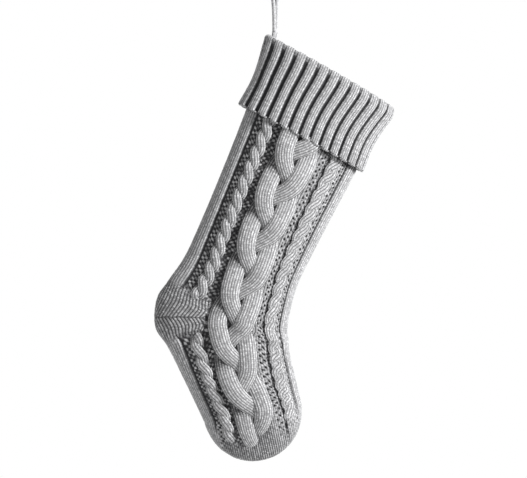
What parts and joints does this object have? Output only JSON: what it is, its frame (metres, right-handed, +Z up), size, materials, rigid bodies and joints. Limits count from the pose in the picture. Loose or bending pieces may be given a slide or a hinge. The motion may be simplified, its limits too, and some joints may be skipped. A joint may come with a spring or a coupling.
{
  "type": "hanging christmas stocking",
  "caption": "Knitted Christmas stocking with cable panels, a turned-down ribbed cuff and a cord loop that hangs it from a hook.",
  "frame": {"origin": "seat of the loop: the inner top of the cord loop, where a hook carries it", "axes": "+Z up, -Z the way the stocking hangs; +X from the heel side to the toe side; -Y the front"},
  "size_m": [0.257, 0.058, 0.5367],
  "materials": {
    "leg_yarn": "heathered light grey knitted yarn",
    "cuff_yarn": "heathered light grey ribbed yarn",
    "cord_yarn": "light grey crocheted cord",
    "thread": "grey sewing yarn"
  },
  "bodies": {
    "hook_loop": {"loop_bight": "cord_yarn"},
    "strands": {"loop_strands": "cord_yarn"},
    "tack": {"tack_stitches": "thread"},
    "stocking": {"loop_tails": "cord_yarn", "ribbed_cuff": "cuff_yarn", "cuff_side_seam": "cuff_yarn", "cuff_join": "leg_yarn", "front_panel": "leg_yarn", "back_panel": "leg_yarn", "back_seam": "leg_yarn", "front_seam": "leg_yarn", "sole_seam": "leg_yarn", "heel_cup": "leg_yarn", "toe_cap": "leg_yarn"}
  },
  "joints": [
    {"name": "cord_twist", "type": "hinge", "parent": "hook_loop", "child": "strands", "pos_m": [0, 0, -0.034], "axis": [0, 0, 1], "range_deg": [-90, 90]},
    {"name": "swing_front_back", "type": "hinge", "parent": "strands", "child": "tack", "pos_m": [0, 0, -0.072], "axis": [1, 0, 0], "range_deg": [-60, 60]},
    {"name": "swing_sideways", "type": "hinge", "parent": "tack", "child": "stocking", "pos_m": [0, 0, -0.072], "axis": [0, 1, 0], "range_deg": [-60, 60]}
  ]
}
